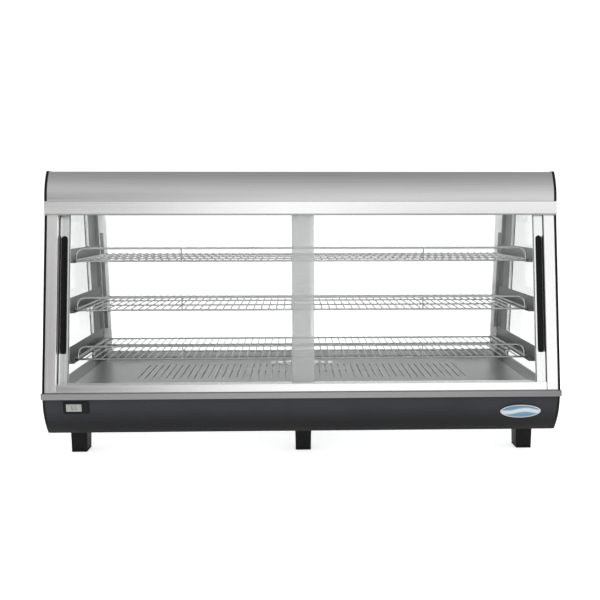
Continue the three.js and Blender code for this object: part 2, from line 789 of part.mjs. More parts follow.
function makeHood() {
  const inner = HOOD.x - HOOD.cap - GAP;
  const sheet = [...hoodOutline(0), ...hoodOutline(HOOD.sheet).reverse()];
  add(cabinet, 'hood_shell', beam(sheet, -inner, inner), materials.brushed);
  for (const [sideName, side] of Object.entries(sides)) {
    const ends = [side * HOOD.x, side * (HOOD.x - HOOD.cap)];
    const cap = beam(hoodOutline(-HOOD.lip), Math.min(...ends), Math.max(...ends));
    add(cabinet, `hood_end_${sideName}`, cap, materials.black);
  }
}

makeFeet();
makeBaseShell();
makeRearPanel();
makeRim();
makeDeck();
makeHeater();
makeThermometer();
makeBadge();
makeControls();
makeGland();
makeFace('front', 0, { left: 'left', right: 'right' });
makeFace('rear', Math.PI, { left: 'right', right: 'left' });
makeSideGlass();
for (const [sideName, side] of Object.entries(sides)) {
  makeRack(sideName, side);
}
for (const [levelName, level] of Object.entries(SHELF_LEVELS)) {
  makeShelf(levelName, level);
}
makeTop();
makeHood();

export default cabinet;
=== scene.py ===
"""Looks for the food holding cabinet: materials, fine geometry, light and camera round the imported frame."""
import math

import bmesh
import bpy
from mathutils import Matrix, Vector


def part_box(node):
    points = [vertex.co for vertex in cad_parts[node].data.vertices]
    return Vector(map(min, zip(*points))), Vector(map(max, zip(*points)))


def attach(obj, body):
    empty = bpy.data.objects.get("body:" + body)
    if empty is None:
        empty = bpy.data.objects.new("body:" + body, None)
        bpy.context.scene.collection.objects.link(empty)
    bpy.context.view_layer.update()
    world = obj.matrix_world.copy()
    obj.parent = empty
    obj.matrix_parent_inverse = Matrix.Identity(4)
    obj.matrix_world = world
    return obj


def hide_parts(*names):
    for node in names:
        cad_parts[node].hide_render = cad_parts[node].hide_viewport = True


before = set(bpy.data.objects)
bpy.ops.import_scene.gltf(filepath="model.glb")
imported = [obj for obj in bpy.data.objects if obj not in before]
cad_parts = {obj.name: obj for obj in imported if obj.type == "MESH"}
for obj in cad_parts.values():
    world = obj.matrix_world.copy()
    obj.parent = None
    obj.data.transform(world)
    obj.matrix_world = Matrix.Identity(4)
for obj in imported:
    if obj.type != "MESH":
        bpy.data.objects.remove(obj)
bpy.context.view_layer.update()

MM = 0.001
LEAN = 64 / 408
POST_DEPTH = 31 * MM
POST_LIP = 10 * MM
BASE_SETBACK = 45 * MM
CONTROL_Z = 114 * MM
EDGE_ANGLE = 35
LOW_SPECULAR = 0.13
CABINET = "cabinet"
LEVELS = ("low", "middle", "top")
SIDES = {"left": -1, "right": 1}
ENDS = {"front": -1, "rear": 1}
CORNERS = [(f"{end}_{side}", sign, hand) for end, sign in ENDS.items() for side, hand in SIDES.items()]

# Shelf wires: radii, corner radii, and the number of rods
FRAME_WIRE = 2.4 * MM
ROD_WIRE = 1.6 * MM
CROSS_WIRE = 2.0 * MM
RAIL_WIRE = 2.6 * MM
SHELF_CORNER = 9 * MM
RAIL_CORNER = 19 * MM
SHELF_RODS = 60

# Deck slots: half their width, their pitch along X, and where the rows start and end along Y
SLOT_HALF = 1.5 * MM
SLOT_PITCH = 17.5 * MM
SLOT_COLUMNS = 48
SLOT_ROWS = ((-95 * MM, 18 * MM), (22 * MM, 120 * MM))


# Node helpers


def add_node(tree, kind, inputs=None, **settings):
    """A shader node with its settings; an input that is a socket is linked, any other is set on the node."""
    node = tree.nodes.new(f"ShaderNode{kind}")
    for name, value in settings.items():
        setattr(node, name, value)
    for key, value in (inputs or {}).items():
        if isinstance(value, bpy.types.NodeSocket):
            tree.links.new(value, node.inputs[key])
        else:
            node.inputs[key].default_value = value
    return node


def new_material(name, values):
    """A material with one Principled shader and the values that are the same all over it."""
    material = bpy.data.materials.new(name)
    material.use_nodes = True
    tree = material.node_tree
    tree.nodes.clear()
    shader = add_node(tree, "BsdfPrincipled", values)
    add_node(tree, "OutputMaterial", {"Surface": shader.outputs["BSDF"]})
    return material, tree, shader


def grey(tone):
    return (tone, tone, tone)


def scaled(colour, share):
    return [c * share for c in colour]


def noise(tree, stretch, detail, rough=0.55):
    """Noise in the object's own coordinates, with a stretch for each axis."""
    coords = add_node(tree, "TexCoord").outputs["Object"]
    mapping = add_node(tree, "Mapping", {"Vector": coords, "Scale": stretch})
    values = {"Vector": mapping.outputs["Vector"], "Scale": 1.0, "Detail": detail, "Roughness": rough}
    return add_node(tree, "TexNoise", values).outputs["Fac"]


def colour_ramp(tree, factor, stops):
    """A colour ramp of (place, colour) stops."""
    node = add_node(tree, "ValToRGB", {"Fac": factor})
    elements = node.color_ramp.elements
    while len(elements) < len(stops):
        elements.new(0.5)
    for element, (where, colour) in zip(elements, stops):
        element.position = where
        element.color = (*colour, 1)
    return node.outputs["Color"]


def ramp(tree, factor, dark, light, low=0.3, high=0.7):
    return colour_ramp(tree, factor, [(low, dark), (high, light)])


def map_range(tree, value, numbers, **settings):
    """A Map Range node: numbers are its From Min, From Max, To Min and To Max."""
    values = dict(zip(("From Min", "From Max", "To Min", "To Max"), numbers))
    return add_node(tree, "MapRange", {"Value": value, **values}, **settings).outputs["Result"]


def spread(tree, factor, low, high):
    """Noise, which lies mostly between 0.3 and 0.7, spread from low to high."""
    return map_range(tree, factor, (0.3, 0.7, low, high))


def span(tree, value, start, end):
    """0 at start, 1 at end, smooth between."""
    return map_range(tree, value, (start, end, 0.0, 1.0), interpolation_type="SMOOTHSTEP")


def relief(tree, shader, height, distance, strength=0.6):
    bump = add_node(tree, "Bump", {"Strength": strength, "Distance": distance, "Height": height})
    tree.links.new(bump.outputs["Normal"], shader.inputs["Normal"])


def maths(tree, operation, *values):
    """A Math node of sockets and plain numbers."""
    return add_node(tree, "Math", dict(enumerate(values)), operation=operation).outputs[0]


def product(tree, *factors):
    total = factors[0]
    for factor in factors[1:]:
        total = maths(tree, "MULTIPLY", total, factor)
    return total


def position(tree, kind="Object"):
    coords = add_node(tree, "TexCoord").outputs[kind]
    return add_node(tree, "SeparateXYZ", {"Vector": coords}).outputs


def in_reflections(tree):
    """1 for light that reaches a surface by a mirror, as a dark studio flag out of view does."""
    return add_node(tree, "LightPath").outputs["Is Glossy Ray"]


def mixed(tree, first, second, share=1.0, mode="MULTIPLY"):
    inputs = {0: share, 6: first, 7: second}
    return add_node(tree, "Mix", inputs, data_type="RGBA", blend_type=mode).outputs[2]


def dimmed(tree, colour, factor, darkest):
    """A colour left as it is where a factor is 0, and multiplied by the darkest tone where it is 1."""
    return mixed(tree, colour, ramp(tree, factor, grey(1.0), darkest, 0.0, 1.0))


def shaded_downwards(tree, colour, levels, darkest):
    """A tone that darkens downwards, from the higher of two levels to the lower one: painted shade at the
    foot of a body.
    """
    low, high = levels
    height = span(tree, position(tree)["Z"], low, high)
    return mixed(tree, colour, ramp(tree, height, grey(darkest), grey(1.0), 0.0, 1.0))


# Materials


def coat(tree, shader, tone, wear, low, high):
    """Gives the shader a tone, and a roughness that follows the wear from low to high."""
    tree.links.new(tone, shader.inputs["Base Color"])
    tree.links.new(spread(tree, wear, low, high), shader.inputs["Roughness"])


def brushed_metal(name, colour, rough, along=(2.0, 420.0, 420.0), depth=0.00002, contrast=0.1, metal=1.0):
    """Metal with hairline brushing along one axis, slow tone changes and faint wipe marks."""
    material, tree, shader = new_material(name, {"Metallic": metal})
    streaks = noise(tree, along, 6.0, 0.65)
    clouds = noise(tree, grey(3.0), 3.0)
    light = [min(1.0, c * (1 + contrast * 0.7)) for c in colour]
    fine = ramp(tree, streaks, scaled(colour, 1 - contrast), light)
    slow = ramp(tree, clouds, scaled(colour, 0.96), light)
    coat(tree, shader, mixed(tree, fine, slow, 0.35, "MIX"), streaks, rough * 0.85, rough * 1.2)
    relief(tree, shader, streaks, depth)
    return material


def anodised(name, colour, rough, metal):
    """Anodised extrusion: part metal, part milky, with faint draw lines up its faces."""
    return brushed_metal(name, colour, rough, (500.0, 3.0, 0.5), 0.000002, 0.04, metal)


def plated_metal(name, colour, rough):
    """Bright plating: nearly smooth, with a faint long ripple and dull patches from wiping."""
    material, tree, shader = new_material(name, {"Metallic": 1.0})
    ripple = noise(tree, grey(60.0), 2.0)
    patches = noise(tree, grey(14.0), 3.0)
    tone = ramp(tree, patches, scaled(colour, 0.93), colour)
    coat(tree, shader, tone, patches, rough * 0.8, rough * 1.5)
    relief(tree, shader, ripple, 0.00006, 0.3)
    return material


def spangled_sheet(name, colour):
    """Zinc coated sheet with its crystal pattern."""
    material, tree, shader = new_material(name, {"Metallic": 1.0})
    coords = add_node(tree, "TexCoord").outputs["Object"]
    cells = add_node(tree, "TexVoronoi", {"Vector": coords, "Scale": 90.0})
    crystal = add_node(tree, "RGBToBW", {"Color": cells.outputs["Color"]}).outputs["Val"]
    tone = ramp(tree, crystal, scaled(colour, 0.8), scaled(colour, 1.12), 0.2, 0.8)
    coat(tree, shader, tone, crystal, 0.38, 0.55)
    return material


def powder_coat(name, colour, rough=0.42, levels=None):
    """Satin paint with a fine orange peel, a trace of dust, and painted shade that darkens its foot between
    two levels.
    """
    material, tree, shader = new_material(name, {"Specular IOR Level": LOW_SPECULAR})
    peel = noise(tree, grey(900.0), 2.0)
    dust = noise(tree, grey(9.0), 5.0)
    tone = ramp(tree, dust, scaled(colour, 0.9), scaled(colour, 1.12))
    # Painted shade: with levels given, the tone darkens towards the bottom.
    if levels:
        tone = shaded_downwards(tree, tone, levels, 0.08)
    coat(tree, shader, tone, dust, rough * 0.9, rough * 1.12)
    relief(tree, shader, peel, 0.00005, 0.45)
    return material


def moulded_plastic(name, colour, rough, grain=1400.0, depth=0.00004):
    """Moulded plastic with a fine spark grain."""
    material, tree, shader = new_material(name, {"Specular IOR Level": LOW_SPECULAR})
    spark = noise(tree, grey(grain), 1.0)
    handling = noise(tree, grey(25.0), 4.0)
    tone = ramp(tree, handling, scaled(colour, 0.85), scaled(colour, 1.2))
    coat(tree, shader, tone, handling, rough * 0.85, rough * 1.1)
    relief(tree, shader, spark, depth, 0.5)
    return material


def window_glass(name, tint, bend_index):
    """Clear coated glass without refraction: light goes straight through and little is mirrored."""
    material, tree, shader = new_material(name, {})
    tree.nodes.remove(shader)
    clear = add_node(tree, "BsdfTransparent", {"Color": (*tint, 1)})
    gloss = add_node(tree, "BsdfGlossy", {"Color": (0.95, 0.97, 0.96, 1), "Roughness": 0.02})
    fresnel = add_node(tree, "Fresnel", {"IOR": bend_index})
    share = maths(tree, "MULTIPLY", fresnel.outputs["Fac"], 0.3)
    layers = {"Fac": share, 1: clear.outputs["BSDF"], 2: gloss.outputs["BSDF"]}
    mix = add_node(tree, "MixShader", layers)
    out = next(n for n in tree.nodes if n.type == "OUTPUT_MATERIAL")
    tree.links.new(mix.outputs["Shader"], out.inputs["Surface"])
    return material


def hazy_plastic(name, dark, light, stretch, values):
    """Smooth plastic with a faint haze between two tones."""
    material, tree, shader = new_material(name, values)
    haze = noise(tree, stretch, 3.0)
    tree.links.new(ramp(tree, haze, dark, light), shader.inputs["Base Color"])
    return material


def translucent_plastic(name, colour, alpha):
    values = {"Roughness": 0.35, "Alpha": alpha}
    return hazy_plastic(name, scaled(colour, 0.96), colour, (400.0, 400.0, 12.0), values)


def lamp_cover(name):
    values = {"Roughness": 0.45, "Emission Color": (1.0, 0.97, 0.9, 1), "Emission Strength": 4.0}
    return hazy_plastic(name, (0.86, 0.86, 0.83), (0.92, 0.92, 0.9), grey(30.0), values)


def banded_badge(name, centre_z, height):
    """Oval badge field: muted blue with a broad silver wave across it, no lettering."""
    values = {"Roughness": 0.18, "Coat Weight": 0.6, "Coat Roughness": 0.05}
    material, tree, shader = new_material(name, values)
    place = position(tree)
    swing = maths(tree, "SINE", maths(tree, "MULTIPLY", place["X"], 2 * math.pi / 0.09))
    shift = maths(tree, "MULTIPLY_ADD", swing, height * 0.09, -centre_z)
    level = maths(tree, "ADD", place["Z"], shift)
    share = maths(tree, "MULTIPLY_ADD", level, 1 / height, 0.5)
    stops = [
        (0.0, (0.05, 0.17, 0.27)),
        (0.3, (0.08, 0.24, 0.36)),
        (0.4, (0.5, 0.54, 0.57)),
        (0.56, (0.52, 0.56, 0.59)),
        (0.66, (0.07, 0.22, 0.33)),
        (1.0, (0.03, 0.12, 0.22)),
    ]
    tree.links.new(colour_ramp(tree, share, stops), shader.inputs["Base Color"])
    return material


def display_window(name):
    return hazy_plastic(name, (0.27, 0.285, 0.275), (0.33, 0.345, 0.33), grey(120.0), {"Roughness": 0.12})


def studio_floor(name):
    """Pale matt paint with a faint glow, dimmer in mirrors at the front corners and the rear."""
    material, tree, shader = new_material(name, {"Emission Strength": 0.68, "Roughness": 0.75})
    place = position(tree)
    mirrored = in_reflections(tree)
    front = product(tree, mirrored, span(tree, place["Y"], -0.7, -1.0))
    dims = [
        (product(tree, front, span(tree, place["X"], 0.35, 0.8)), 0.3),
        (product(tree, front, span(tree, place["X"], 0.1, -0.8)), 0.78),
        (product(tree, mirrored, span(tree, place["Y"], 0.7, 1.1)), 0.6),
    ]
    mottle = noise(tree, grey(1.5), 3.0)
    tone = ramp(tree, mottle, grey(0.92), grey(0.94))
    for factor, darkest in dims:
        tone = dimmed(tree, tone, factor, grey(darkest))
    tree.links.new(tone, shader.inputs["Base Color"])
    tree.links.new(tone, shader.inputs["Emission Color"])
    return material


MATERIALS = {
    "hood": brushed_metal("hood_steel", grey(0.68), 0.3, contrast=0.07),
    "band": brushed_metal("band_steel", (0.97, 0.965, 0.96), 0.2, contrast=0.05),
    "rim": brushed_metal("rim_steel", grey(0.275), 0.34),
    "rim_side": brushed_metal("control_steel", grey(0.55), 0.33),
    # Darker steel than the band: painted shade under the band's lower edge.
    "hem": brushed_metal("hem_steel_shaded", grey(0.42), 0.3),
    "post": anodised("post_aluminium", (0.99, 0.97, 0.97), 0.22, 0.9),
    # Dark grey for the post linings: painted shade inside the posts' channels.
    "post_back_shade": powder_coat("post_lining_shade", (0.25, 0.255, 0.255), 0.5),
    # Near-white, almost non-metallic copy of the stile aluminium for the rear doors: painted light on the
    # rear stiles.
    "stile": anodised("stile_aluminium", (0.94, 0.95, 0.95), 0.24, 0.88),
    "stile_rear_lit": anodised("rear_stile_lit_aluminium", grey(0.98), 0.3, 0.05),
    "track": brushed_metal("track_aluminium", grey(1.0), 0.2, contrast=0.02),
    "deck": brushed_metal(
        "deck_steel", (0.47, 0.475, 0.47), 0.3, depth=0.000003, contrast=0.04, metal=0.75
    ),
    # Near-black steel for the shelf racks: painted shade on their unlit flanges.
    "bracket": brushed_metal("rack_steel_shaded", (0.15, 0.153, 0.15), 0.45, (420.0, 3.0, 420.0), metal=0.45),
    "ceiling": brushed_metal("ceiling_steel", grey(0.8), 0.25),
    "chrome": plated_metal("wire_chrome", (0.52, 0.52, 0.53), 0.14),
    "screw": plated_metal("screw_steel", grey(0.6), 0.25),
    "backing": brushed_metal("backing_steel", grey(0.75), 0.4, metal=0.4),
    # Near-white louvres: a painted highlight for the glint on the louvres.
    "louvre": powder_coat("louvre_white_highlight", (0.88, 0.88, 0.87), 0.3),
    "galvanised": spangled_sheet("zinc_sheet", (0.48, 0.49, 0.49)),
    "heater": plated_metal("heater_sheath", (0.12, 0.105, 0.095), 0.45),
    # Charcoal paint; its two levels, in metres, add painted shade that darkens the base towards its foot.
    "charcoal": powder_coat("charcoal_paint", (0.031, 0.0325, 0.037), 0.42, (0.08, 0.145)),
    "cap": powder_coat("cap_paint", (0.008, 0.008, 0.009), 0.35),
    "black": moulded_plastic("black_plastic", grey(0.007), 0.36),
    "handle": moulded_plastic("grip_plastic", (0.006, 0.006, 0.0065), 0.42),
    "foot": moulded_plastic("foot_plastic", grey(0.006), 0.6, 700.0, 0.00008),
    "handle_back": moulded_plastic("grip_back_plastic", (0.3, 0.305, 0.305), 0.5),
    "rubber": moulded_plastic("seal_rubber", grey(0.01), 0.7, 900.0, 0.00006),
    "glass": window_glass("pane_glass", (0.985, 0.99, 0.987), 1.4),
    "glass_edge": translucent_plastic("pane_edge", (0.42, 0.52, 0.49), 0.6),
    "strip": translucent_plastic("strip_plastic", (0.59, 0.585, 0.59), 0.45),
    "diffuser": lamp_cover("lamp_opal"),
    "lcd": display_window("display_window"),
    "mark": moulded_plastic("mark_white", grey(0.75), 0.5),
    "segment": moulded_plastic("segment_grey", (0.04, 0.045, 0.045), 0.4),
}


# Mesh helpers


def add_object(name, data):
    item = bpy.data.objects.new(name, data)
    bpy.context.scene.collection.objects.link(item)
    return item


def to_mesh(name, bm, material):
    mesh = bpy.data.meshes.new(name)
    bm.to_mesh(mesh)
    bm.free()
    mesh.materials.append(material)
    return mesh


def finish_mesh(name, bm, finish, body=CABINET, smooth_angle=EDGE_ANGLE):
    """Turns a bmesh into a piece with its finish, riding on a body, smooth up to an angle in degrees."""
    bmesh.ops.remove_doubles(bm, verts=bm.verts, dist=1e-6)
    bmesh.ops.recalc_face_normals(bm, faces=bm.faces)
    mesh = to_mesh(name, bm, MATERIALS[finish])
    for polygon in mesh.polygons:
        polygon.use_smooth = True
    mesh.set_sharp_from_angle(angle=math.radians(smooth_angle))
    piece = add_object(name, mesh)
    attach(piece, body)
    return piece


def add_bevel(piece, width, segments=2, material_index=-1):
    bevel = piece.modifiers.new("edges", "BEVEL")
    bevel.width = width
    bevel.segments = segments
    bevel.limit_method = "ANGLE"
    bevel.angle_limit = math.radians(EDGE_ANGLE)
    bevel.harden_normals = True
    bevel.material = material_index


def skin(bm, rings, cap_first=True, cap_last=True):
    """Faces between rings of equal length, closed round, with the ends capped."""
    loops = [[bm.verts.new(point) for point in ring] for ring in rings]
    count = len(loops[0])
    for lower, upper in zip(loops, loops[1:]):
        for i in range(count):
            j = (i + 1) % count
            bm.faces.new((lower[i], lower[j], upper[j], upper[i]))
    if cap_first:
        bm.faces.new(loops[0])
    if cap_last:
        bm.faces.new(loops[-1])


def middle(node):
    """The centre of a node's box."""
    return [(a + b) / 2 for a, b in zip(*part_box(node))]


def angles(count):
    return [2 * math.pi * k / count for k in range(count)]


def rectangle(x0, y0, x1, y1):
    return [(x0, y0), (x1, y0), (x1, y1), (x0, y1)]


def at_height(outline, z):
    return [(x, y, z) for x, y in outline]


def move_new(bm, before, place):
    """Moves the vertices made since there were so many."""
    bm.verts.ensure_lookup_table()
    for vert in bm.verts[before:]:
        vert.co = place @ vert.co


def skinned(rings, cap_first=True, cap_last=True):
    bm = bmesh.new()
    skin(bm, rings, cap_first, cap_last)
    return bm


def sweep(bm, path, radius, sides=10):
    """A round wire along a path of points, capped at both ends."""
    points = [Vector(point) for point in path]
    last = len(points) - 1
    tangents = [(points[min(i + 1, last)] - points[max(i - 1, 0)]).normalized() for i in range(last + 1)]
    up = Vector((0, 0, 1)) if abs(tangents[0].z) < 0.9 else Vector((1, 0, 0))
    across = tangents[0].cross(up).normalized()
    rings = []
    for point, tangent in zip(points, tangents):
        across = (across - tangent * across.dot(tangent)).normalized()
        other = tangent.cross(across)
        rings.append([point + (across * math.cos(a) + other * math.sin(a)) * radius for a in angles(sides)])
    skin(bm, rings)


def bend(corner, start, end, radius, steps=6):
    """Points of a round corner between two straight runs that meet at corner."""
    at = Vector(corner)
    a, b = [(Vector(point) - at).normalized() for point in (start, end)]
    half = math.acos(max(-1, min(1, a.dot(b)))) / 2
    reach = radius / math.tan(half)
    centre = at + (a + b).normalized() * (radius / math.sin(half))
    first, last = [(at + arm * reach - centre).normalized() for arm in (a, b)]
    return [centre + first.slerp(last, i / steps) * radius for i in range(steps + 1)]


def bent(points, radius, steps=6):
    """A path through points, with round corners at all but its ends."""
    path = [points[0]]
    for before, here, after in zip(points, points[1:], points[2:]):
        path += bend(here, before, after, radius, steps)
    return [*path, points[-1]]


def slab(bm, low, high):
    x0, y0, z0 = low
    x1, y1, z1 = high
    skin(bm, [at_height(rectangle(x0, y0, x1, y1), z) for z in (z0, z1)])


def beam(bm, outline, x0, x1):
    """A closed side outline of (y, z) points, drawn out from x0 to x1."""
    skin(bm, [[(x, y, z) for y, z in outline] for x in (x0, x1)])


def arcs(centres, radius, turn, steps=5):
    """Points on an arc round each centre, each arc going on from the angle where the last one ended."""
    points = []
    for k, (cx, cy) in enumerate(centres):
        for i in range(steps + 1):
            angle = turn * (k + i / steps)
            points.append((cx + radius * math.cos(angle), cy + radius * math.sin(angle)))
    return points


def rounded_rect(half_x, half_y, radius):
    x, y = half_x - radius, half_y - radius
    return arcs([(x, y), (-x, y), (-x, -y), (x, -y)], radius, math.pi / 2)


def screw_head(bm, centre, direction, radius=0.0035, height=0.0018):
    """A domed screw head with a cross recess standing on a surface that faces direction."""
    turn = Vector((0, 0, 1)).rotation_difference(Vector(direction)).to_matrix().to_4x4()
    place = Matrix.Translation(Vector(centre)) @ turn
    head, cross = [1.0] * 16, [0.46, 0.2, 0.2, 0.2] * 4
    levels = [(head, 0.0), (head, 0.35), (scaled(head, 0.86), 0.75), (scaled(head, 0.55), 1.0)]
    levels += [(cross, 1.0), (cross, 0.4)]
    rings = []
    for shares, lift in levels:
        polar = zip(scaled(shares, radius), angles(len(shares)))
        outline = [(r * math.cos(a), r * math.sin(a)) for r, a in polar]
        rings.append([place @ Vector(point) for point in at_height(outline, height * lift)])
    skin(bm, rings)


# CAD nodes that keep their shape


def dress(node, finish, bevel, segments=2, edge_finish=None):
    """Gives a CAD node its material and softened edges, by modifiers only."""
    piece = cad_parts[node]
    piece.data.materials.clear()
    for key in filter(None, (finish, edge_finish)):
        piece.data.materials.append(MATERIALS[key])
    for polygon in piece.data.polygons:
        polygon.use_smooth = False
        polygon.material_index = 0
    weld = piece.modifiers.new("weld", "WELD")
    weld.merge_threshold = 1e-6
    flat = piece.modifiers.new("flatten", "DECIMATE")
    flat.decimate_type = "DISSOLVE"
    flat.angle_limit = math.radians(0.5)
    add_bevel(piece, bevel, segments, 1 if edge_finish else -1)


def dress_frame():
    """The CAD nodes that stay: finish, width of the softened edges, and nodes."""
    plan = [
        ("rim", 0.0012, "base_rim"),
        ("rim_side", 0.0004, "control_plate"),
        ("band", 0.0008, "top_band"),
        ("ceiling", 0.0003, "ceiling_panel"),
        ("galvanised", 0.0003, "base_pan heater_tray"),
        ("galvanised", 0.001, "lamp_housing"),
        ("charcoal", 0.0003, "base_rear_panel"),
        ("diffuser", 0.0006, "lamp_diffuser"),
        ("bracket", 0.0004, "shelf_rack_left shelf_rack_right"),
        ("black", 0.0008, "thermometer_bezel"),
        ("black", 0.0006, "power_switch light_switch"),
        ("black", 0.001, "thermostat_body"),
        ("lcd", 0.0002, "thermometer_display"),
        ("strip", 0.0004, "door_strip_front_right door_strip_rear_left"),
        ("track", 0.0005, "track_lower_front track_upper_front track_lower_rear track_upper_rear"),
    ]
    for finish, width, nodes in plan:
        for node in nodes.split():
            dress(node, finish, width)
    for corner, sign, _ in CORNERS:
        dress(f"post_{corner}", "post", 0.0009, 3)
        # Rear stiles take the painted-light copy of the stile finish.
        dress(f"door_stile_{corner}", "stile" if sign < 0 else "stile_rear_lit", 0.0006)
        dress(f"door_glass_{corner}", "glass", 0.0012, 2, "glass_edge")
    for side in SIDES:
        dress(f"side_glass_{side}", "glass", 0.0012, 2, "glass_edge")


# Wire shelves


def shelf_frame(bm, x_edge, y_edge, z):
    """The closed wire round a shelf."""
    ring = at_height(rectangle(-x_edge, -y_edge, x_edge, y_edge), z)
    path = bent([ring[-1], *ring, ring[0]], SHELF_CORNER)[1:-1]
    sweep(bm, [*path, path[0]], FRAME_WIRE, 12)


def shelf_rods(bm, x_edge, y_edge, z_frame):
    """Rods from front to rear with their ends bent down, and two wires across under them."""
    droop = FRAME_WIRE + ROD_WIRE - 0.9 * MM
    z_rod = z_frame + droop
    reach = 2 * (x_edge - SHELF_CORNER)
    for i in range(SHELF_RODS):
        x = -reach / 2 + reach * i / (SHELF_RODS - 1)
        run = [(x, -y_edge - 0.4 * MM, z_rod - 0.35 * droop), (x, -y_edge + 4 * MM, z_rod)]
        run += [(x, -y, z) for _, y, z in reversed(run)]
        sweep(bm, run, ROD_WIRE, 8)
    z_cross = z_rod - ROD_WIRE - CROSS_WIRE + 0.5 * MM
    for y in (-y_edge / 3, y_edge / 3):
        sweep(bm, [(-x_edge, y, z_cross), (x_edge, y, z_cross)], CROSS_WIRE, 10)


def shelf_guard(bm, y, foot, top):
    """The raised guard along the front: a rail with round corners, and two struts."""
    x = 538 * MM - RAIL_WIRE
    rail = bent([(-x, y, foot), (-x, y, top), (x, y, top), (x, y, foot)], RAIL_CORNER, 10)
    sweep(bm, rail, RAIL_WIRE, 12)
    for x in (-288 * MM, 288 * MM):
        sweep(bm, [(x, y, foot), (x, y, top)], ROD_WIRE, 8)


def make_shelf(level):
    node = f"shelf_{level}"
    low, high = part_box(node)
    x_edge = high.x - FRAME_WIRE
    y_edge = high.y - FRAME_WIRE
    z_frame = low.z + FRAME_WIRE
    bm = bmesh.new()
    shelf_frame(bm, x_edge, y_edge, z_frame)
    shelf_rods(bm, x_edge, y_edge, z_frame)
    shelf_guard(bm, -y_edge + 0.2 * MM, z_frame + 0.6 * MM, high.z - RAIL_WIRE)
    piece = finish_mesh(f"{node}_wires", bm, "chrome", body=f"{node}_body", smooth_angle=50)
    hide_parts(node)


# Heated deck


def slot_ring(cx, cy, half_width, half_length):
    """Outline of a round-ended slot that runs along Y."""
    reach = half_length - half_width
    return arcs([(cx, cy + reach), (cx, cy - reach)], half_width, math.pi)


def cell_faces(ring, box):
    """Points and faces that fill a rectangle around a slot's ring."""
    count = len(ring)
    half = count // 2
    quarter = half // 2
    low_left, low_right, high_right, high_left = range(count, count + 4)
    faces = [
        [high_right, *range(quarter, -1, -1)],
        [high_left, *range(half - 1, quarter - 1, -1), high_right],
        [low_left, *range(half + quarter, half - 1, -1)],
        [low_right, *range(count - 1, half + quarter - 1, -1), low_left],
        [high_left, low_left, half, half - 1],
        [low_right, high_right, 0, count - 1],
    ]
    return [*ring, *rectangle(*box)], faces


def deck_cells(bm, x_end, levels):
    """Both faces of the plate round every slot, and the walls of the slots."""
    for y0, y1 in SLOT_ROWS:
        for column in range(SLOT_COLUMNS):
            x0 = -x_end + column * SLOT_PITCH
            x1 = x0 + SLOT_PITCH
            ring = slot_ring(x0 + SLOT_PITCH / 2, (y0 + y1) / 2, SLOT_HALF, (y1 - y0) / 2 - 4 * MM)
            points, faces = cell_faces(ring, (x0, y0, x1, y1))
            for z in levels:
                verts = [bm.verts.new(point) for point in at_height(points, z)]
                for face in faces:
                    bm.faces.new([verts[i] for i in face])
            skin(bm, [at_height(ring, z) for z in levels], False, False)


def deck_margins(bm, x_end, levels):
    """The plate outside the rows of slots, and its turned-down edge."""
    low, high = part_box("deck_plate")
    (y0, y1), (y2, y3) = SLOT_ROWS
    plain = [
        (low.x, low.y, high.x, y0),
        (low.x, y3, high.x, high.y),
        (-x_end, y1, x_end, y2),
        (low.x, y0, -x_end, y3),
        (x_end, y0, high.x, y3),
    ]
    for box in plain:
        for z in levels:
            bm.faces.new([bm.verts.new(point) for point in at_height(rectangle(*box), z)])
    skirt = 1.5 * MM
    outer = rectangle(low.x, low.y, high.x, high.y)
    inner = rectangle(low.x + skirt, low.y + skirt, high.x - skirt, high.y - skirt)
    top, under = levels
    rings = [(outer, top), (outer, low.z), (inner, low.z), (inner, under)]
    skin(bm, [at_height(outline, z) for outline, z in rings], False, False)


def make_deck():
    """The deck plate with two rows of round-ended slots, and a pale sheet close under them."""
    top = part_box("deck_plate")[1].z
    under = top - 2 * MM
    x_end = SLOT_COLUMNS * SLOT_PITCH / 2
    bm = bmesh.new()
    deck_cells(bm, x_end, (top, under))
    deck_margins(bm, x_end, (top, under))
    piece = finish_mesh("deck_slotted", bm, "deck", smooth_angle=30)
    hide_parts("deck_plate")

    bm = bmesh.new()
    slab(bm, (-x_end, SLOT_ROWS[0][0], under - 2 * MM), (x_end, SLOT_ROWS[1][1], under - 1 * MM))
    finish_mesh("deck_backing", bm, "backing")


def make_louvres():
    """Six small louvres that stand at the rear of the deck, near-white as a painted highlight."""
    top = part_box("deck_plate")[1].z
    profile = [(-6.0, 0.0), (-5.4, 4.6), (-3.0, 6.0), (4.0, 6.4), (4.8, 5.6), (6.0, 0.0)]
    outline = [((132 + y) * MM, top + z * MM) for y, z in profile]
    bm = bmesh.new()
    for hand in SIDES.values():
        for x in (38 * MM, 58 * MM, 78 * MM):
            beam(bm, outline, hand * x - 7 * MM, hand * x + 7 * MM)
    piece = finish_mesh("deck_louvres", bm, "louvre")
    add_bevel(piece, 0.0004)


def make_heater():
    low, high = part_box("heater_element")
    radius = 4.6 * MM
    x = high.x - radius
    y = high.y - radius
    corners = [(-x, -y), (x, -y), (x, 0), (-x, 0), (-x, y), (x, y)]
    bm = bmesh.new()
    sweep(bm, bent(at_height(corners, (low.z + high.z) / 2), 30 * MM, 8), radius, 14)
    piece = finish_mesh("heater_tube", bm, "heater")
    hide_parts("heater_element")


# Base


def end_cap(node, outline, bevel, segments=2):
    """A black cap with softened edges, drawn from its side outline, for a hood or base end."""
    low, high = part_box(node)
    bm = bmesh.new()
    beam(bm, outline, low.x, high.x)
    cap = finish_mesh(f"{node}_cap", bm, "cap")
    add_bevel(cap, bevel, segments)
    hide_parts(node)


def front_share(z):
    """0 at the top of the curved base front, 1 at its foot."""
    low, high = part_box("base_front_panel")
    return (high.z - z) / (high.z - low.z)


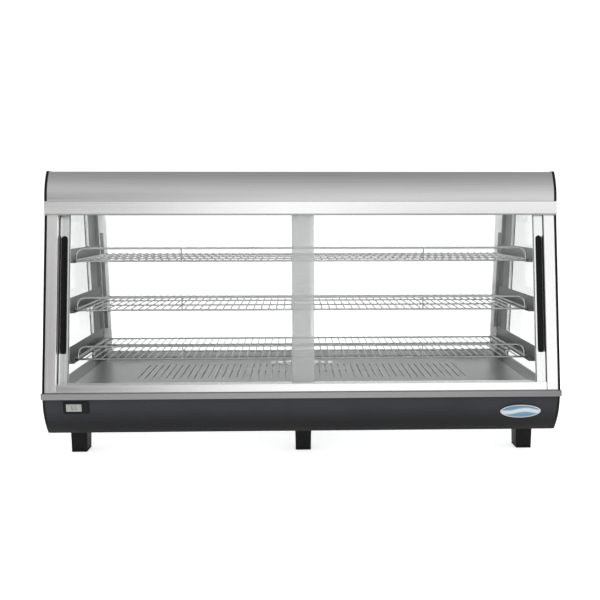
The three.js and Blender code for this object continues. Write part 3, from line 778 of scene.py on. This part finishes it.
def front_tilt(z):
    low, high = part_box("base_front_panel")
    return math.atan(2 * BASE_SETBACK * front_share(z) / (high.z - low.z))


def front_y(z):
    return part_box("base_front_panel")[0].y + BASE_SETBACK * front_share(z) ** 2


def front_curve(offset, steps=36):
    """The base front's side outline from the top down, moved inwards by an offset."""
    low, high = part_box("base_front_panel")
    points = []
    for step in range(steps + 1):
        z = high.z + (low.z - high.z) * step / steps
        tilt = front_tilt(z)
        points.append((front_y(z) + offset * math.cos(tilt), z + offset * math.sin(tilt)))
    return points


def on_front(x, z):
    """Matrix that puts a piece drawn flat (x, outwards = -y, up = z) on the curved front."""
    return Matrix.Translation((x, front_y(z), z)) @ Matrix.Rotation(front_tilt(z), 4, "X")


def make_base():
    low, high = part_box("base_front_panel")
    bm = bmesh.new()
    beam(bm, front_curve(0) + front_curve(1.5 * MM)[::-1], low.x, high.x)
    panel = finish_mesh("base_front_curved", bm, "charcoal")
    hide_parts("base_front_panel")
    for side in SIDES:
        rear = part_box(f"base_end_{side}")[1].y
        end_cap(f"base_end_{side}", front_curve(0) + [(rear, low.z), (rear, high.z)], 0.0009)


def foot_rings(node):
    """Outlines of a moulded foot, from a rounded sole with a groove up to its flange."""
    low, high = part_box(node)
    cx, cy, _ = middle(node)
    top = ((high.x - low.x) / 2, (high.y - low.y) / 2)
    sole = (19 * MM, 25 * MM)
    height = high.z - low.z
    levels = [
        (0.0, 0.9, 1.6),
        (1.2, 0.0, 2.4),
        (5.0, 0.0, 2.4),
        (5.4, 1.1, 2.2),
        (6.6, 1.1, 2.2),
        (7.0, 0.2, 2.4),
        (62.0, 0.2, 2.6),
        (62.6, 0.0, 2.6),
        (height / MM - 0.6, 0.0, 2.6),
        (height / MM, 0.6, 2.4),
    ]
    rings = []
    for z, inset, radius in levels:
        share = z * MM / height
        halves = [s + (t - s) * share - inset * MM for s, t in zip(sole, top)]
        outline = [(cx + x, cy + y) for x, y in rounded_rect(*halves, radius * MM)]
        rings.append(at_height(outline, low.z + z * MM))
    return rings


def make_feet():
    for end in ENDS:
        for side in ("left", "middle", "right"):
            node = f"foot_{end}_{side}"
            piece = finish_mesh(f"{node}_moulded", skinned(foot_rings(node)), "foot")
            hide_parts(node)


SEGMENTS = {"6": "acdefg", "5": "acdfg"}


def digit_segments(height):
    """The bars of a digit: the seven of any display but the upper right one, which isn't needed."""
    w, t = height * 0.5, height * 0.1
    h = height / 2
    flat = {"a": h, "g": 0, "d": -h}
    upright = {"f": (-1, 1), "e": (-1, -1), "c": (1, -1)}
    shapes = {}
    for name, z in flat.items():
        x1 = w / 2 - t * 0.6
        shapes[name] = (-x1, x1, z - t / 2, z + t / 2)
    for name, (sx, sz) in upright.items():
        x = sx * w / 2
        z0, z1 = sorted((sz * t * 0.6, sz * (h - t * 0.6)))
        shapes[name] = (x - t / 2, x + t / 2, z0, z1)
    return shapes


def make_display():
    x, _, z = middle("thermometer_bezel")
    place = on_front(x, z)
    shift = middle("thermometer_display")[0] - x
    height = 9 * MM
    face = -2.05 * MM
    shapes = digit_segments(height)
    bm = bmesh.new()
    for index, digit in enumerate("65"):
        centre = shift + (index - 0.5) * height * 0.8
        for segment in SEGMENTS[digit]:
            x0, x1, z0, z1 = shapes[segment]
            slab(bm, (centre + x0, face, z0), (centre + x1, face + 0.2 * MM, z1))
    move_new(bm, 0, place)
    finish_mesh("thermometer_digits", bm, "segment")


def ellipse_ring(place, half_x, half_z, y, steps=72):
    return [place @ Vector((half_x * math.cos(a), y, half_z * math.sin(a))) for a in angles(steps)]


def make_badge():
    low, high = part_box("badge_plate")
    cx, _, cz = middle("badge_plate")
    place = on_front(cx, cz)
    half_x, half_z = (high.x - low.x) / 2, 18 * MM
    front, back = -2.3 * MM, -0.3 * MM
    rim = [
        (0.3, back),
        (0.0, back - 0.4 * MM),
        (0.0, front + 0.6 * MM),
        (0.6, front),
        (2.4, front),
        (2.9, front + 0.5 * MM),
    ]
    bm = skinned([ellipse_ring(place, half_x - inset * MM, half_z - inset * MM, y) for inset, y in rim])
    piece = finish_mesh("badge_rim", bm, "chrome")
    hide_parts("badge_plate")
    rings = []
    for share in (1.0, 0.92, 0.75, 0.5, 0.25):
        y = front + 0.35 * MM - 0.28 * MM * (1 - share**2)
        rings.append(ellipse_ring(place, (half_x - 3 * MM) * share, (half_z - 3 * MM) * share, y))
    MATERIALS["badge"] = banded_badge("badge_field", cz, 2 * half_z)
    finish_mesh("badge_oval", skinned(rings, False, True), "badge")


# Doors


def signed_power(value, power):
    return math.copysign(abs(value) ** power, value)


def handle_ring(low, high, sign, level):
    """One outline of a pull: its inset and its depth behind the face in mm, and its foot's power."""
    inset, behind, foot_power = level
    half = (high.x - low.x) / 2
    face = low.y if sign < 0 else high.y
    ring = []
    for z_pole, start, power in ((high.z - half, 0, 1.0), (low.z + half, math.pi, foot_power)):
        for i in range(13):
            angle = start + math.pi * i / 12
            x = (low.x + high.x) / 2 + (half - inset * MM) * signed_power(math.cos(angle), power)
            z = z_pole + (half - inset * MM) * signed_power(math.sin(angle), power)
            ring.append((x, face - sign * (LEAN * (z - low.z) + behind * MM), z))
    return ring


def make_handles():
    """Long pulls with a hollow along the middle, round at the top and square at the foot."""
    for corner, sign, _ in CORNERS:
        node = f"door_handle_{corner}"
        low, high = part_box(node)
        depth = (high.y - low.y) - LEAN * (high.z - low.z)
        levels = [
            (0, depth / MM, 1.0),
            (0, 1.5, 1.0),
            (0, 1.45, 0.3),
            (0, 1.2, 0.3),
            (0.25, 0.5, 0.3),
            (1.0, 0, 0.3),
            (2.0, 0, 0.3),
            (2.8, 0.7, 0.3),
            (4.0, 1.3, 0.3),
            (5.6, 1.5, 0.3),
        ]
        bm = skinned([handle_ring(low, high, sign, level) for level in levels])
        piece = finish_mesh(f"door_grip_{corner}", bm, "handle", body=f"door_{corner}")
        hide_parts(node)


def front_at(z):
    """Distance from the middle of the cabinet to the slanted face of its posts, at a height."""
    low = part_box("post_front_left")[0]
    return -low.y - LEAN * (z - low.z)


def leaned(outline, levels, sign):
    """Rings of (x, depth behind the slanted face) points that follow the face between two levels."""
    return [[(x, sign * (front_at(z) - depth), z) for x, depth in outline] for z in levels]


def leaned_bar(bm, start, width, depths, levels, sign):
    """A flat bar on the slanted face, from one x over a signed width, between two depths."""
    x0, x1 = sorted((start, start + width))
    skin(bm, leaned(rectangle(x0, depths[0], x1, depths[1]), levels, sign))


def make_linings():
    """A satin angle that closes the open side of each post, clear of the glass in its channel; its dark grey
    is painted shade for the inside of the channel.
    """
    near, back = POST_LIP + 0.1 * MM, POST_DEPTH - 0.2 * MM
    sheet = 1.0 * MM
    for corner, sign, hand in CORNERS:
        low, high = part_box(f"post_{corner}")
        inner = min(abs(low.x), abs(high.x)) + 0.05 * MM
        across = [inner, inner, inner + 20 * MM, inner + 20 * MM, inner + sheet, inner + sheet]
        deep = [near, back + sheet, back + sheet, back, back, near]
        outline = [(hand * x, depth) for x, depth in zip(across, deep)]
        bm = skinned(leaned(outline, (low.z + 1 * MM, high.z - 1 * MM), sign))
        finish_mesh(f"post_lining_shade_{corner}", bm, "post_back_shade")


def door_trims(corner, sign, hand):
    """Black trims on both edges of a door's stile, a black bar beside the grip as a painted reflection of the
    grip, and a back for the grip.
    """
    low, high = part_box(f"door_stile_{corner}")
    grip_low, grip_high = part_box(f"door_handle_{corner}")
    outer, inner = (low.x, high.x) if hand < 0 else (high.x, low.x)
    depth = front_at(low.z) - max(abs(low.y), abs(high.y))
    whole = (low.z + 14 * MM, 579.5 * MM)
    grip = (grip_low.z, grip_high.z)
    bm = bmesh.new()
    for start, width, proud, levels in (
        (outer, -1.3 * MM, 0.4 * MM, whole),
        (inner, 1.0 * MM, 0.4 * MM, whole),
        # A black bar as tall as the grip: painted reflection of the grip beside it.
        (outer, -3.2 * MM, 0.5 * MM, grip),
    ):
        leaned_bar(bm, start, hand * width, (depth - proud, depth + 0.3 * MM), levels, sign)
    finish_mesh(f"door_seal_and_grip_reflection_{corner}", bm, "rubber", f"door_{corner}")

    back = depth + 9.6 * MM
    bm = bmesh.new()
    start = (grip_low.x + grip_high.x) / 2 - 4.5 * MM
    leaned_bar(bm, start, 9 * MM, (back - 0.1 * MM, back + 1.4 * MM), grip, sign)
    piece = finish_mesh(f"door_grip_back_{corner}", bm, "handle_back", f"door_{corner}")
    add_bevel(piece, 0.0005)


def side_trim(corner, sign, hand):
    """A black angle that runs round the outer edge of a post."""
    low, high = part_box("post_front_left")
    edge = max(abs(low.x), abs(high.x))
    lip, inside, outside = edge - 3.4 * MM, edge + 0.1 * MM, edge + 2.2 * MM
    near, skin_depth, far = -0.9 * MM, -0.1 * MM, 34 * MM
    across = [lip, outside, outside, inside, inside, lip]
    deep = [near, near, far, far, skin_depth, skin_depth]
    outline = [(hand * x, depth) for x, depth in zip(across, deep)]
    bm = skinned(leaned(outline, (low.z, high.z), sign))
    piece = finish_mesh(f"side_trim_{corner}", bm, "cap")
    add_bevel(piece, 0.0003)


def make_trims():
    for corner, sign, hand in CORNERS:
        door_trims(corner, sign, hand)
        side_trim(corner, sign, hand)


# Hood


def hood_curve(offset, large_steps=32, small_steps=10):
    """Half of the hood's side outline: one large arc from the foot, one small arc into the top."""
    low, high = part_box("hood_shell")
    foot, sweep_angle, corner = -low.y, 0.68, 6 * MM
    rise = high.z - low.z
    radius = (rise - corner * (1 - math.sin(sweep_angle))) / math.sin(sweep_angle)
    points = []
    for step in range(large_steps + 1):
        angle = sweep_angle * step / large_steps
        r = radius - offset
        points.append((-foot + radius - r * math.cos(angle), low.z + r * math.sin(angle)))
    corner_y = -foot + radius - (radius - corner) * math.cos(sweep_angle)
    corner_z = low.z + (radius - corner) * math.sin(sweep_angle)
    for step in range(1, small_steps + 1):
        angle = sweep_angle + (math.pi / 2 - sweep_angle) * step / small_steps
        r = corner - offset
        points.append((corner_y - r * math.cos(angle), corner_z + r * math.sin(angle)))
    return points


def hood_outline(offset):
    front = hood_curve(offset)
    return front + [(-y, z) for y, z in reversed(front)]


def ribbon(bm, first, second):
    """Faces between two open rows of points."""
    rows = [[bm.verts.new(point) for point in row] for row in (first, second)]
    for i in range(len(first) - 1):
        bm.faces.new((rows[0][i], rows[0][i + 1], rows[1][i + 1], rows[1][i]))


def make_hood():
    """The curved sheet with its thickness, and a black cap at each end."""
    low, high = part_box("hood_shell")
    outer, inner = hood_outline(0), hood_outline(1.5 * MM)
    near, far = [[[(x, *point) for point in outline] for outline in (outer, inner)] for x in (low.x, high.x)]
    bm = bmesh.new()
    ribbon(bm, *near)
    ribbon(bm, *far)
    ribbon(bm, near[0], far[0])
    ribbon(bm, near[1], far[1])
    for k in (0, -1):
        ribbon(bm, (near[0][k], far[0][k]), (near[1][k], far[1][k]))
    shell = finish_mesh("hood_sheet", bm, "hood")
    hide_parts("hood_shell")
    for side in SIDES:
        end_cap(f"hood_end_{side}", hood_outline(-1.5 * MM), 0.0012, 3)


def make_hems():
    """The rolled lower edge of the band, along the front and the rear, in a darker steel as painted shade
    under the band's edge.
    """
    low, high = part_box("top_band")
    across = [-0.3, -0.3, 0.5, 3.6, 4.4, 4.4, -0.05, -0.05]
    upward = [1.2, -1.6, -2.4, -2.4, -1.6, -0.1, -0.1, 1.2]
    for end, sign in ENDS.items():
        outline = [(sign * (high.y - y * MM), low.z + z * MM) for y, z in zip(across, upward)]
        bm = bmesh.new()
        beam(bm, outline, low.x + 1 * MM, high.x - 1 * MM)
        finish_mesh(f"band_hem_{end}", bm, "hem")


# Rear controls


def axial_ring(radii, y, cx=0.0, cz=0.0):
    """A ring round an axis along Y, with a radius for each of its points."""
    return [(cx + r * math.cos(a), y, cz + r * math.sin(a)) for r, a in zip(radii, angles(len(radii)))]


def make_knob():
    """The fluted thermostat knob, and the pointer on its face."""
    low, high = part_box("thermostat_knob")
    cx = (low.x + high.x) / 2
    radius = (high.x - low.x) / 2
    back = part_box("control_plate")[1].y + 0.3 * MM
    depth = high.y - back
    flutes = 24
    levels = [
        (0.0, 0.97, 0.0),
        (0.06, 1.0, 0.0),
        (0.2, 1.0, 0.0),
        (0.26, 0.93, 0.035),
        (0.8, 0.9, 0.035),
        (0.9, 0.86, 0.01),
        (0.95, 0.78, 0.0),
        (0.95, 0.3, 0.0),
    ]
    rings = []
    for lift, share, flute in levels:
        radii = [radius * (share + flute * math.cos(flutes * a)) for a in angles(4 * flutes)]
        rings.append(axial_ring(radii, back + depth * lift, cx, CONTROL_Z))
    knob = finish_mesh("thermostat_grip", skinned(rings), "black", body="thermostat_dial")
    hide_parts("thermostat_knob")
    face = back + depth * 0.95
    end = (cx + 0.9 * MM, face + 0.3 * MM, CONTROL_Z + radius * 0.74)
    bm = bmesh.new()
    slab(bm, (cx - 0.9 * MM, face, CONTROL_Z + 3 * MM), end)
    finish_mesh("thermostat_pointer", bm, "mark", "thermostat_dial")


def make_scale():
    """Tick marks round the knob, longer at the ends and the middle of its turn."""
    low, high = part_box("thermostat_knob")
    centre = Vector(((low.x + high.x) / 2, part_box("control_plate")[1].y, CONTROL_Z))
    inner = (high.x - low.x) / 2 + 2.2 * MM
    ticks = 10
    bm = bmesh.new()
    for k in range(ticks + 1):
        angle = math.radians(90 - 270 * k / ticks)
        direction = Vector((math.cos(angle), 0, math.sin(angle)))
        across = Vector((-math.sin(angle), 0, math.cos(angle))) * 0.4 * MM
        outer = inner + (3.2 if k % 5 == 0 else 2.0) * MM
        corners = ((inner, -1), (outer, -1), (outer, 1), (inner, 1))
        ring = [centre + direction * reach + across * side for reach, side in corners]
        skin(bm, [ring, [point + Vector((0, 0.15 * MM, 0)) for point in ring]])
    finish_mesh("thermostat_scale", bm, "segment")


def make_switch_marks():
    """A bar and a ring on each rocker, as on any power switch."""
    slope = math.atan((3.4 - 1.4) / 9.35)
    lift = Matrix.Translation((0, 1.4 * MM, 0))
    out, thick = 5.0 * MM, 0.15 * MM
    for node, body in (("power_switch", "power_rocker"), ("light_switch", "light_rocker")):
        axis = (middle(node)[0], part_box("base_rear_panel")[1].y, CONTROL_Z)
        place = Matrix.Translation(axis) @ Matrix.Rotation(-0.16, 4, "X") @ lift
        bm = bmesh.new()
        slab(bm, (-0.4 * MM, 0, out - 1.8 * MM), (0.4 * MM, thick, out + 1.8 * MM))
        move_new(bm, 0, place @ Matrix.Rotation(-slope, 4, "X"))
        bar_points = len(bm.verts)
        section = ((1.3, thick), (1.9, thick), (1.9, 0), (1.3, 0), (1.3, thick))
        skin(bm, [axial_ring([r * MM] * 24, y, 0.0, -out) for r, y in section], False, False)
        move_new(bm, bar_points, place @ Matrix.Rotation(slope, 4, "X"))
        finish_mesh(f"{node}_marks", bm, "mark", body)


def make_gland():
    low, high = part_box("cable_gland")
    cx, _, cz = middle("cable_gland")
    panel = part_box("base_rear_panel")[1].y
    bore = 3.5 * MM
    nut = (high.x - low.x) / 2
    levels = [
        (bore, low.y, 0.0),
        (7.8 * MM, low.y, 0.0),
        (7.8 * MM, panel + 0.3 * MM, 0.0),
        (nut * 0.98, panel + 0.3 * MM, 1.0),
        (nut, panel + 0.8 * MM, 1.0),
        (nut, panel + 5.4 * MM, 1.0),
        (nut * 0.93, panel + 6.0 * MM, 0.6),
        (9.9 * MM, panel + 6.2 * MM, 0.0),
        (9.7 * MM, panel + 10 * MM, 0.0),
        (9.0 * MM, panel + 14 * MM, 0.0),
        (7.4 * MM, high.y - 0.4 * MM, 0.0),
        (6.4 * MM, high.y, 0.0),
        (bore + 0.5 * MM, high.y, 0.0),
        (bore, high.y - 0.6 * MM, 0.0),
        (bore, low.y, 0.0),
    ]
    sectors = [(a + math.pi / 6) % (math.pi / 3) - math.pi / 6 for a in angles(48)]
    hexagon = [math.cos(math.pi / 6) / math.cos(sector) for sector in sectors]
    rings = []
    for radius, y, six in levels:
        rings.append(axial_ring([radius * (1 - six + six * h) for h in hexagon], y, cx, cz))
    piece = finish_mesh("gland_moulded", skinned(rings, False, False), "black")
    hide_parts("cable_gland")


def side_screws(bm, side, hand):
    """Screws on the end caps of the hood and the base, and on the rack inside the glass."""
    hood_low, hood_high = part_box(f"hood_end_{side}")
    x = hand * max(abs(hood_low.x), abs(hood_high.x))
    for y in (-0.15, 0, 0.15):
        screw_head(bm, (x, y, hood_low.z + 22 * MM), (hand, 0, 0))
    base_low, base_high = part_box(f"base_end_{side}")
    x = hand * max(abs(base_low.x), abs(base_high.x))
    for y in (base_low.y + 45 * MM, 0, base_high.y - 25 * MM):
        screw_head(bm, (x, y, base_high.z - 18 * MM), (hand, 0, 0))
    for level in LEVELS:
        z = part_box(f"shelf_{level}")[0].z + 14 * MM
        reach = -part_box("post_front_left")[0].y - 43 * MM - LEAN * (z - 172 * MM)
        for y in (-reach, reach):
            screw_head(bm, (hand * 0.558, y, z), (-hand, 0, 0), 3 * MM, 1.5 * MM)


def make_screws():
    """Screw heads on the end caps and the racks, the rear panel and the control plate."""
    bm = bmesh.new()
    for side, hand in SIDES.items():
        side_screws(bm, side, hand)
    finish_mesh("side_screws", bm, "screw")
    bm = bmesh.new()
    inset = 7 * MM
    for node, xs, radius in (
        ("base_rear_panel", (-0.57, -0.3, 0.0, 0.3, 0.57), 3 * MM),
        ("control_plate", None, 2.6 * MM),
    ):
        low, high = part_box(node)
        for x in xs or (low.x + inset, high.x - inset):
            for z in (low.z + inset, high.z - inset):
                screw_head(bm, (x, high.y, z), (0, 1, 0), radius, radius / 2)
    finish_mesh("rear_screws", bm, "screw")


# Studio


def make_stage():
    """A wide pale floor that runs out to the horizon, so every side has the same plain background."""
    bm = bmesh.new()
    bmesh.ops.create_circle(bm, cap_ends=True, segments=96, radius=80.0)
    floor = add_object("studio_floor", to_mesh("studio_floor", bm, studio_floor("floor_paint")))


def make_world():
    """A world that fades upwards; mirrors also see it dimmer low at the left front and at the rear."""
    world = bpy.data.worlds.new("studio")
    bpy.context.scene.world = world
    world.use_nodes = True
    tree = world.node_tree
    way = position(tree, "Generated")
    mirrored = in_reflections(tree)
    left_front = product(
        tree,
        mirrored,
        span(tree, way["X"], 0.0, -0.25),
        span(tree, way["Y"], -0.5, -0.8),
        span(tree, way["Z"], 0.55, 0.1),
    )
    rear = product(tree, mirrored, span(tree, way["Y"], 0.3, 0.9))
    sky = ramp(tree, way["Z"], grey(1.0), (0.31, 0.31, 0.318), 0.05, 0.97)
    sky = dimmed(tree, sky, left_front, (0.15, 0.145, 0.14))
    sky = dimmed(tree, sky, rear, grey(0.66))
    background = tree.nodes["Background"]
    tree.links.new(sky, background.inputs["Color"])
    background.inputs["Strength"].default_value = 1.15


def make_lights():
    """Soft lamps that no mirror and no camera sees: three over the cabinet, one under its canopy."""
    lamp_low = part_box("lamp_diffuser")[0]
    under_lamp = (0.0, middle("lamp_diffuser")[1], lamp_low.z - 4 * MM)
    lights = [
        ("top_rear", (0.0, 1.2, 2.7), (0, 1.4, 0), (3.6, 1.8), 34),
        ("front_left", (-2.2, -1.5, 2.4), (-0.2, -0.5, 0), (1.8, 1.8), 11),
        ("front_right", (2.2, -1.5, 2.4), (0.2, -0.5, 0), (1.8, 1.8), 14),
        ("canopy_lamp", under_lamp, (0.0, 0.1, 0.3), (1.0, 0.04), 3.8),
    ]
    for name, place, target, size, watts in lights:
        data = bpy.data.lights.new(name, "AREA")
        data.shape = "RECTANGLE"
        data.size, data.size_y = size
        data.energy = watts
        light = add_object(name, data)
        light.location = place
        aim = Vector(target) - Vector(place)
        light.rotation_euler = aim.to_track_quat("-Z", "Y").to_euler()
        light.visible_glossy = False
        light.visible_camera = False


def make_camera():
    """The photograph's view: focal length, place and turn from a fit of the cabinet's outline."""
    data = bpy.data.cameras.new("camera")
    data.sensor_width = 36.0
    data.lens = 55.075
    data.shift_x = -0.0436
    data.shift_y = -0.0103
    data.clip_start = 0.05
    camera = add_object("camera", data)
    yaw, pitch, roll = 0.0341, 0.085, -0.0009
    turn = (
        Matrix.Rotation(-yaw, 4, "Z")
        @ Matrix.Rotation(math.pi / 2 - pitch, 4, "X")
        @ Matrix.Rotation(roll, 4, "Z")
    )
    camera.matrix_world = Matrix.Translation((-0.0191, -2.369, 0.5764)) @ turn
    bpy.context.scene.camera = camera


bpy.context.scene.view_settings.view_transform = "Standard"
bpy.context.scene.cycles.transparent_max_bounces = 24
dress_frame()
for shelf_level in LEVELS:
    make_shelf(shelf_level)
make_deck()
make_louvres()
make_heater()
make_base()
make_feet()
make_display()
make_badge()
make_handles()
make_trims()
make_linings()
make_hood()
make_hems()
make_knob()
make_scale()
make_switch_marks()
make_gland()
make_screws()
make_stage()
make_world()
make_lights()
make_camera()
